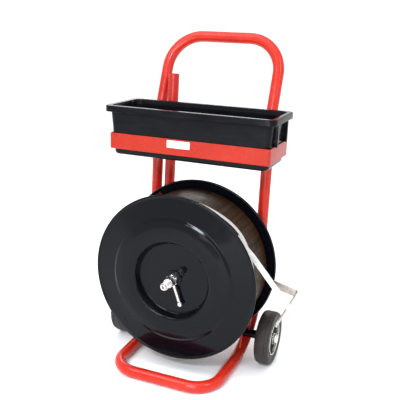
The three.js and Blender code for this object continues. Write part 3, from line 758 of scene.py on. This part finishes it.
def build_wheels():
    half = WHEEL_W / 2
    tyre_in, rim_in, bush_r = 51, 48, 13
    grooves = []
    for middle in (-9.5, 9.5):
        for across, deep in ((-1.4, 0), (-0.7, 1.1), (0.7, 1.1), (1.4, 0)):
            grooves.append((TYRE_R - deep, middle + across, 0.3))
    tyre = [
        (tyre_in, -half + 2.5, 0.8), (60, -half + 2, 1), (63, -half + 0.6, 1), (TYRE_R - 3, -half, 6),
        (TYRE_R - 0.2, -half + 9, 4), *grooves, (TYRE_R - 0.2, half - 9, 4), (TYRE_R - 3, half, 6),
        (63, half - 0.6, 1), (60, half - 2, 1), (tyre_in, half - 2.5, 0.8),
    ]
    rim = [(rim_in, -half + 2, 0.8), (tyre_in - GAP, -half + 2, 0.8), (tyre_in - GAP, half - 1, 0.9),
           (rim_in, half - 1, 0.9)]
    web = [
        (bush_r + GAP, -half + 1, 1), (22, -half + 1, 2), (20.5, -3, 3), (rim_in - GAP, -3, 0.6),
        (rim_in - GAP, 6, 0.6), (44, 4, 2), (20, 4, 3), (18, half - 6, 2), (bush_r + GAP, half - 6, 0.8),
    ]
    bush = [(AXLE_R + 0.4, -half + 0.5, 0), (bush_r, -half + 0.5, 0.5), (bush_r, half - 5.5, 0.5),
            (AXLE_R + 0.4, half - 5.5, 0)]
    rib = block(19, 47.5, -2, 2, 2, half - 8, 1.5, 1.2)
    stand = Matrix.Rotation(-PI / 2, 4, "X")
    ribs = [moved(moved(rib, stand), Matrix.Rotation(PI / 3 * k, 4, "Y")) for k in range(6)]
    plate = AXLE_PLATE_X - WHEEL_X
    axle = [
        (0, plate - 8, 0), (14, plate - 8, 1.5), (15, plate - 6, 1), (15, plate - GAP, 0.5),
        (AXLE_R, plate - GAP, 0), (AXLE_R, half + 4, 0.8), (0, half + 4, 0),
    ]
    bore = AXLE_R + 0.2
    inside = plate + AXLE_PLATE_T + GAP
    spacer = [(bore, inside, 0), (13, inside, 0.6), (13, -half, 0.6), (bore, -half, 0)]
    washer = [(bore, half - 5, 0), (16, half - 5, 0.5), (16, half - 3, 0.7), (bore, half - 3, 0)]
    cap = [
        (0, half + 4.3, 0), (bore, half + 4.3, 0), (bore, half - 2.6, 0), (14, half - 2.6, 0.6),
        (14, half + 3, 3), (11.5, half + 7, 4), (5, half + 8.5, 3), (0, half + 8.5, 0),
    ]
    for side, name in ((-1, "left"), (1, "right")):
        at = place(side * WHEEL_X, WHEEL_Y, TYRE_R, Matrix.Rotation(-side * PI / 2, 3, "Z"))
        body = f"wheel_{name}"
        make(f"tyre_solid_{name}", turned(tyre, 128, 6), at, RUBBER, body, f"tyre_{name}")
        make(f"rim_ring_{name}", turned(rim, 96, 4), at, ZINC, body, f"wheel_rim_{name}")
        make(f"ribbed_hub_{name}", merged(turned(web, 96, 4), *ribs), at, HUB, body, f"wheel_hub_{name}")
        make(f"bush_{name}", turned(bush, 48, 3), at, STEEL, body, f"wheel_bush_{name}")
        make(f"axle_{name}", turned(axle, 48, 3), at, STEEL, "frame", f"stub_axle_{name}")
        make(f"spacer_{name}", turned(spacer, 48, 3), at, BLACK, "frame", f"axle_spacer_{name}")
        make(f"washer_{name}", turned(washer, 48, 3), at, ZINC, "frame", f"axle_washer_{name}")
        make(f"cap_{name}", turned(cap, 64, 5), at, ZINC, "frame", f"axle_cap_{name}")


# ---------------------------------------------------------------- reel

def flange_outline(face, sign):
    """The pressed flange as (radius, y): sign +1 bulges towards -Y from the plane y = face."""
    pressed = [(0.965, 1.6, 8), (0.745, 9.4, 9), (0.714, 14.2, 8), (0.64, 17.6, 30), (0.55, 19.4, 30),
               (0.468, 17, 9), (0.43, -4, 5), (0.415, -EYE_DEPTH, 4)]
    outer = [(RIM_R * share, y, radius) for share, y, radius in pressed]
    inner = [(r, y - SHEET, radius) for r, y, radius in reversed(outer)]
    bead_r = 4
    rim = [(RIM_R - bead_r + bead_r * math.cos(t), bead_r * math.sin(t), 0)
           for t in (-PI * 0.62 + PI * 1.36 * k / 14 for k in range(15))]
    eye = SHAFT_R + 0.4
    outline = rounded([(eye, -EYE_DEPTH, 0), (eye, -EYE_DEPTH - SHEET, 0), *inner, *rim, *outer], 6)
    return [(r, face - sign * y) for r, y in outline]


def build_flanges():
    for sign, face, name, body, share, angle in (
        (1, FRONT_RIM_Y, "front", "clamp_plate", 0.875, PI * 1.25),
        (-1, BACK_RIM_Y, "back", "reel", 0.94, PI * 0.7),
    ):
        shape = lathe(flange_outline(face, sign), 180)
        flange = make(f"{name}_pressed_flange", shape, place(0, 0, AXIS_Z), BLACK, body, f"{name}_flange",
                      angle=40)
        away = RIM_R * share
        hole = place(away * math.cos(angle), face, AXIS_Z + away * math.sin(angle))
        drill(flange, rod(4, -40, 40, 24), hole, 40)


def coil_outline():
    """Rows of strap side by side on the outside, and the edges of the turns on the sides."""
    y0, y1 = COIL_Y
    bore = CORE_R + GAP
    first = CORE_R + 1
    turns = 30
    step = (COIL_R - CORE_R - 2) / turns
    rows = 10
    width = (y1 - y0) / rows
    draw = random.Random(7)
    outline = [(bore, y0)]
    for k in range(turns):
        outline += [(first + step * (k + 0.1), y0), (first + step * (k + 0.5), y0 + draw.uniform(0.3, 1.0))]
    for k in range(rows):
        top = COIL_R - draw.uniform(0.1, 1.2)
        a = y0 + width * k
        b = a + width
        outline += [(top - 1.4, a + 0.15), (top - 0.1, a + 0.7), (top, a + width / 2), (top - 0.1, b - 0.7),
                    (top - 1.4, b - 0.15)]
    for k in reversed(range(turns)):
        outline += [(first + step * (k + 0.5), y1 - draw.uniform(0.3, 1.0)), (first + step * (k + 0.1), y1)]
    return outline + [(bore, y1)]


def build_reel():
    hub = place(0, 0, AXIS_Z)
    y0, y1 = COIL_Y[0] - 2, COIL_Y[1] + 2
    make("wound_coil", lathe(coil_outline(), 160), hub, DARK, "reel", "strap_coil", angle=50)
    drum = CORE_R - 7
    bore = drum + GAP
    former = [(bore, y0 + 2, 0.5), (CORE_R, y0 + 2, 0.5), (CORE_R, y1 - 2, 0.5), (bore, y1 - 2, 0.5)]
    make("coil_former", turned(former, 96, 2), hub, CARD, "reel", "coil_core")
    eye = SHAFT_R + GAP
    inside = drum - 3
    shell = [
        (eye, y0, 0), (drum, y0, 2), (drum, y1, 2), (eye, y1, 0),
        (eye, y1 - 4, 0), (inside, y1 - 4, 1), (inside, y0 + 4, 1), (eye, y0 + 4, 0),
    ]
    make("hub_drum", turned(shell, 96, 4), hub, ZINC, "reel", "core_drum")
    cup, face = DRUM_R - 5, y1 + 2.6
    brake = [(eye, face, 0), (DRUM_R, face, 2), (DRUM_R, BRAKE_END, 0.8), (cup, BRAKE_END, 0.8),
             (cup, y1 + 6, 2), (eye, y1 + 6, 0)]
    make("brake_drum_turned", turned(brake, 128, 5), hub, STEEL, "reel", "brake_drum")


def build_spindle():
    hub = place(0, 0, AXIS_Z)
    back = upright_y(AXIS_Z) + BEAM_D / 2
    thread = []
    pitch = 2.0
    for k in range(14):
        y = 22 + pitch * k
        thread += [(THREAD_R, y, 0), (THREAD_R - 0.9, y + pitch / 2, 0)]
    shaft = [
        (0, 26, 0), (3.6, 25, 0.4), (4.4, 16, 0.6), (8.6, 16, 1.2), (9.2, 20, 0.5), (9.2, 21.5, 0.3),
        *thread, (THREAD_R, 51, 0), (THREAD_R, 84, 0.4), (SHAFT_R, 86, 0.4), (SHAFT_R, back + 22, 1.5),
        (0, back + 22, 0),
    ]
    make("spindle", turned(shaft, 64, 4), hub, STEEL, "reel", "spindle_shaft")
    eye, near, far = SHAFT_R + 0.2, back + GAP, back + 3
    washer = [(eye, near, 0), (22, near, 0.5), (22, far, 0.8), (eye, far, 0)]
    make("rear_washer", turned(washer, 64, 3), hub, ZINC, "reel", "shaft_washer")
    nut = hexagon(SHAFT_R + 0.4, 19, far + GAP, back + 16)
    make("rear_locknut", nut, hub, ZINC, "reel", "shaft_locknut")


def build_clamp():
    face = FRONT_RIM_Y + EYE_DEPTH - GAP
    hub = place(0, 0, AXIS_Z)
    eye, washer_t = SHAFT_R + 0.4, 3.2
    washer = [(eye, face - washer_t, 0), (24, face - washer_t, 1.2), (24, face, 0.5), (eye, face, 0)]
    make("clamp_washer_turned", turned(washer, 96, 4), hub, BLACK, "clamp_plate", "clamp_washer")
    nut = place(0, face - washer_t - GAP, AXIS_Z)
    bore = THREAD_R + GAP
    sleeve = [
        (bore, -14.5, 0), (16.2, -14.5, 1), (15.6, -18, 1), (14.4, -20, 1), (14.4, -35, 1.2),
        (13.4, -38, 1.2), (bore, -38, 0),
    ]
    collar = hexagon(bore, 17.6, -15, 0, 1.6)
    make("hand_nut", merged(collar, turned(sleeve, 72, 4)), nut, ZINC, "clamp_nut", "clamp_nut")
    swing = place(0, face - 11.5, AXIS_Z, Matrix.Rotation(LEVER_ANGLE, 3, "Y"))
    upright = Matrix.Rotation(PI / 2, 4, "X")
    lever = [(0, 15, 0), (5, 15, 0.5), (5.2, 18, 0.5), (4.6, 24, 2), (4.6, 60, 2), (5, 66, 0.6),
             (3.5, LEVER_END, 0.5), (0, LEVER_END, 0)]
    make("hand_lever", moved(turned(lever, 40, 4), upright), swing, STEEL, "clamp_nut", "clamp_lever")
    seat = LEVER_END + GAP
    knob = [(0, seat, 0), (4.6, seat, 0.8), (7.3, 71.2, 2.5), (7.5, 77, 3), (5.6, 82, 3), (0, 83, 0)]
    make("lever_ball", moved(turned(knob, 48, 6), upright), swing, ZINC, "clamp_nut", "lever_knob")


def build_bearing():
    hub = place(0, 0, AXIS_Z)
    seat = upright_y(AXIS_Z) - BEAM_D / 2 - GAP
    race_r, screw_r = 26, 3.9
    pocket = race_r + GAP
    housing = [
        (pocket, seat - 34, 0.8), (32, seat - 34, 1.5), (32, seat - 12, 4), (48, seat - 8, 2),
        (48, seat, 0.6), (15, seat, 0), (15, seat - 3, 0), (pocket, seat - 3, 0),
    ]
    case = make("bearing_case", turned(housing, 96, 4), hub, HUB, "frame", "bearing_housing")
    for k in range(4):
        angle = (k + 0.5) * PI / 2
        at = place(40 * math.cos(angle), 0, AXIS_Z + 40 * math.sin(angle))
        drill(case, rod(screw_r + 0.4, seat - 20, seat + 5, 24), at)
        head = hexagon(0, 6.5, seat - 17, seat - 12.4, 0.6)
        screw = merged(head, rod(screw_r, seat - 13, seat - GAP, 24))
        make(f"case_screw_{k + 1}", screw, at, ZINC, "frame", f"housing_screw_{k + 1}")
    bore = SHAFT_R + 0.1
    for name, start, node in (
        ("ball_race_front", seat - 33, "bearing_front"),
        ("ball_race_rear", seat - 18, "bearing_rear"),
    ):
        end = start + 14
        race = [(bore, start, 0.4), (16.5, start, 0.4), (17, start + 1.5, 0.4), (21.5, start + 1.5, 0.4),
                (22, start, 0.4), (race_r, start, 0.8), (race_r, end, 0.8), (bore, end, 0.4)]
        make(name, turned(race, 72, 3), hub, STEEL, "frame", node)


# ---------------------------------------------------------------- guide and brake arm

def build_arm():
    arm = place(*ARM_PIVOT, Matrix.Rotation(ARM_SLOPE, 3, "Y"))
    middle, corner = ARM_T / 2, ARM_LENGTH - ARM_T / 2
    line = bent([((-ARM_INNER, middle, 0), 0), ((corner, middle, 0), ARM_BEND - middle),
                 ((corner, -LEG_LENGTH, 0), 0)], math.radians(9))
    outline = rectangle(-ARM_H / 2, ARM_H / 2, -ARM_T / 2, ARM_T / 2, 0.9, 3)
    bar = make("bent_flat_bar", sweep(line, outline, (0, 0, 1)), arm, DULL_ZINC, "guide_arm",
               "guide_arm_bar")
    drill(bar, rod(BOLT_R + GAP, -5, 10), arm)


def build_pivot():
    """The bolt, nut and spacer that turn with the arm, and its return spring."""
    arm = place(*ARM_PIVOT, Matrix.Rotation(ARM_SLOPE, 3, "Y"))
    tube_y = upright_y(ARM_PIVOT[2]) - ARM_PIVOT[1]
    tail = tube_y + TUBE_R + 26
    shank = turned([(0, -3, 0), (BOLT_R, -3, 0), (BOLT_R, tail, 0.8), (0, tail, 0)], 40, 5)
    bolt = merged(hexagon(0, 9, -3.6, -GAP, 0.8), shank)
    make("pivot_bolt", bolt, arm, ZINC, "guide_arm", "arm_pivot_bolt")
    nut = hexagon(BOLT_R + 0.2, 10.5, tail - 7.5, tail - 1)
    make("pivot_nut", nut, arm, ZINC, "guide_arm", "arm_pivot_nut")
    bore, near, far = BOLT_R + GAP, ARM_T + GAP, tube_y - TUBE_R - 3 * GAP
    spacer = [(bore, near, 0), (10, near, 0.5), (10, far, 0.5), (bore, far, 0)]
    make("pivot_spacer", turned(spacer, 40, 3), arm, ZINC, "guide_arm", "arm_spacer")
    first = tube_y + TUBE_R + 3.6
    radius, coils, pitch, count = 9.3, 4, 3.1, 160
    helix = []
    for k in range(count + 1):
        t = 2 * PI * coils * k / count
        helix.append(Vector((radius * math.cos(t), first + coils * pitch * k / count, radius * math.sin(t))))
    make("spring", sweep(helix, circle(1.1, 12), (1, 0, 0)), place(*ARM_PIVOT), STEEL, "frame",
         "return_spring", angle=60)


def build_brake():
    centre = math.radians(6)

    def sector(inner, outer, half):
        def outline(inset):
            slip = half - inset / outer
            arc = [centre - slip + 2 * slip * k / 20 for k in range(21)]
            far = [((outer - inset) * math.cos(t), (outer - inset) * math.sin(t)) for t in arc]
            near = [((inner + inset) * math.cos(t), (inner + inset) * math.sin(t)) for t in reversed(arc)]
            return far + near
        return outline

    lay = place(0, 0, AXIS_Z, Matrix.Rotation(PI / 2, 3, "X"))
    back = 20 - BRAKE_END
    lining = slab(sector(DRUM_R + 0.4, DRUM_R + 9, 0.22), 1 - BRAKE_END, back, 0.6)
    make("brake_lining", lining, lay, LINING, "guide_arm", "brake_block")
    holder = slab(sector(DRUM_R + 9 + GAP, DRUM_R + 14, 0.24), GAP - ARM_PIVOT[1], back, 0.6)
    make("lining_holder", holder, lay, ZINC, "guide_arm", "brake_shoe")


# ---------------------------------------------------------------- tray and its band

def build_tray():
    floor_z, top_z = TRAY_Z
    lip_z = top_z - LIP_H
    middle = sum(TRAY_Y) / 2
    depth = (TRAY_Y[1] - TRAY_Y[0]) / 2

    def ring(z, out, corner):
        """A rounded rectangle at height z, out millimetres outside the drafted wall."""
        narrow = TRAY_DRAFT * max(0, lip_z - z)
        x = TRAY_HALF - LIP + out - narrow
        y = depth - LIP + out - narrow * 0.8
        return [(u, middle + v, z) for u, v in rectangle(-x, x, -y, y, corner, 10)]

    wall = -TRAY_WALL
    foot_z, neck_z = floor_z + 7, top_z - 4
    rings = [ring(floor_z, -8, 15), ring(floor_z + 0.8, -4, 19), ring(floor_z + 3.2, -1.2, 21),
             ring(foot_z, 0, 22)]
    rings += [ring(foot_z + (neck_z - foot_z) * k / 8, 0, 22) for k in range(1, 9)]
    rings += [ring(top_z - 3.2, 1, 23), ring(top_z - 3, LIP - 3.6, 22.6), ring(top_z - 3.6, LIP - 3, 23),
              ring(lip_z + 0.6, LIP - 3, 23), ring(lip_z, LIP - 2.4, 23.6), ring(lip_z, LIP - 0.8, 25),
              ring(lip_z + 0.8, LIP, 26), ring(top_z - 3.4, LIP, 26), ring(top_z - 1.6, LIP - 0.5, 25.6),
              ring(top_z - 0.4, LIP - 1.7, 24.6), ring(top_z, LIP - 3.4, 23), ring(top_z, wall + 2.5, 21),
              ring(top_z - 0.5, wall + 1, 20), ring(top_z - 2, wall, 19)]
    rings += [ring(top_z - 2 - (top_z - 2 - floor_z - 10) * k / 8, wall, 19) for k in range(1, 9)]
    rings += [ring(floor_z + 6, wall - 1.5, 18), ring(floor_z + 3.8, wall - 4.5, 16),
              ring(floor_z + 3, wall - 8, 13)]
    body = loft(rings)
    seat = BAND_Z[1] + GAP
    lugs = []
    for side in (-1, 1):
        for y in (TRAY_Y[0] + 52, TRAY_Y[1] - 52):
            x0, x1 = sorted((side * (TRAY_HALF - 20), side * (TRAY_HALF - 4.5)))
            lugs.append(block(x0, x1, y - 5, y + 5, seat, top_z - 3.5, 1.5, 1))
    make("tray_body", merged(body, *lugs), place(), PLASTIC, "tray", "tray", angle=38)


def build_band():
    z0, z1 = BAND_Z
    edge = 0.7

    def ring(inset, z):
        return [(u, v, z) for u, v in rectangle(-BAND_HALF + inset, BAND_HALF - inset, BAND_Y[0] + inset,
                BAND_Y[1] - inset, 10 - inset, 8)]

    rings = [ring(edge, z0), ring(0, z0 + edge), ring(0, z1 - edge), ring(edge, z1), ring(BAND_T - edge, z1),
             ring(BAND_T, z1 - edge), ring(BAND_T, z0 + edge), ring(BAND_T - edge, z0)]
    make("support_band", loft(rings, closed=True), place(), BAND_RED_PAINTED_SHADE, "frame", "tray_band")
    face = BAND_Y[0]
    lay = Matrix.Rotation(PI / 2, 3, "X")
    sticker = block(-58, 12, z0 + 21, z0 + 42, GAP - face, 1.1 - face, 1.5, 0.3)
    make("sticker", sticker, place(0, 0, 0, lay), PAPER, "frame", "blank_label")


# ---------------------------------------------------------------- carried-over nodes and stage

def dress_kept_nodes():
    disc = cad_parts["post_stop_disc"]
    disc.data.materials.clear()
    disc.data.materials.append(ZINC[0])


def area_light(name, at, aim, size, power, tint=(1, 1, 1)):
    data = bpy.data.lights.new(name, "AREA")
    data.shape = "RECTANGLE"
    data.size, data.size_y = size
    data.energy = power
    data.color = tint
    light = add_object(name, data)
    light.location = at
    light.rotation_euler = (Vector(aim) - Vector(at)).to_track_quat("-Z", "Y").to_euler()


def build_floor():
    """A pale disc, half a millimetre under the cart so that no face lies in another."""
    radius = 60
    n = Nodes("studio_floor")
    cloud = n.noise(1.5, 3)
    n.done("floor", n.mix(n.span(cloud, 0, 1), rgb(0.93, 0.93, 0.93), rgb(0.96, 0.96, 0.96)),
           n.span(cloud, 0.5, 0.6), Specular_IOR_Level=0.2)
    mesh = bpy.data.meshes.new("floor")
    ring = [(radius * u, radius * v, -0.0005) for u, v in circle(1, 64)]
    mesh.from_pydata(ring, [], [tuple(range(64))])
    mesh.materials.append(n.material)
    add_object("floor", mesh)


def build_world():
    """White all round, and a little brighter near the horizon."""
    world = bpy.data.worlds.new("studio")
    world.use_nodes = True
    tree = world.node_tree
    position = tree.nodes.new("ShaderNodeTexCoord")
    split = tree.nodes.new("ShaderNodeSeparateXYZ")
    tree.links.new(position.outputs["Generated"], split.inputs[0])
    ramp = tree.nodes.new("ShaderNodeMapRange")
    for key, value in (("From Min", 0.03), ("From Max", 0.40), ("To Min", 1.15), ("To Max", 0.85)):
        ramp.inputs[key].default_value = value
    tree.links.new(split.outputs["Z"], ramp.inputs["Value"])
    sky = tree.nodes["Background"]
    sky.inputs["Color"].default_value = rgb(1, 1, 1)
    tree.links.new(ramp.outputs[0], sky.inputs["Strength"])
    bpy.context.scene.world = world
    view = bpy.context.scene.view_settings
    view.view_transform = "Standard"
    view.look = "None"


def build_lights():
    area_light("key", (-1.3, -1.7, 2.9), (0, 0, 0.4), (0.9, 0.9), 15, (1.0, 0.98, 0.96))
    area_light("window", (1.9, -0.6, 2.4), (0, 0, 0.4), (0.5, 1.3), 14, (0.86, 0.92, 1.0))
    area_light("strip", (0.1, -2.3, 2.0), (0, -0.1, 0.35), (1.0, 0.24), 42, (0.80, 0.91, 1.0))
    area_light("fill", (0.3, -2.6, 0.8), (0, 0, 0.3), (1.5, 1.0), 20)
    area_light("rim", (-1.2, 2.2, 1.8), (0, 0, 0.5), (1.6, 1.0), 20)
    sun = bpy.data.lights.new("overhead", "SUN")
    sun.energy = 1.3
    sun.angle = math.radians(55)
    add_object("overhead", sun).rotation_euler = (math.radians(12), math.radians(-8), 0)


build_camera()
build_strap()
build_base()
build_main_tube()
build_beam()
build_post()
build_axle_plates()
build_welds()
build_wheels()
build_flanges()
build_reel()
build_spindle()
build_clamp()
build_bearing()
build_arm()
build_pivot()
build_brake()
build_tray()
build_band()
dress_kept_nodes()
build_floor()
build_world()
build_lights()
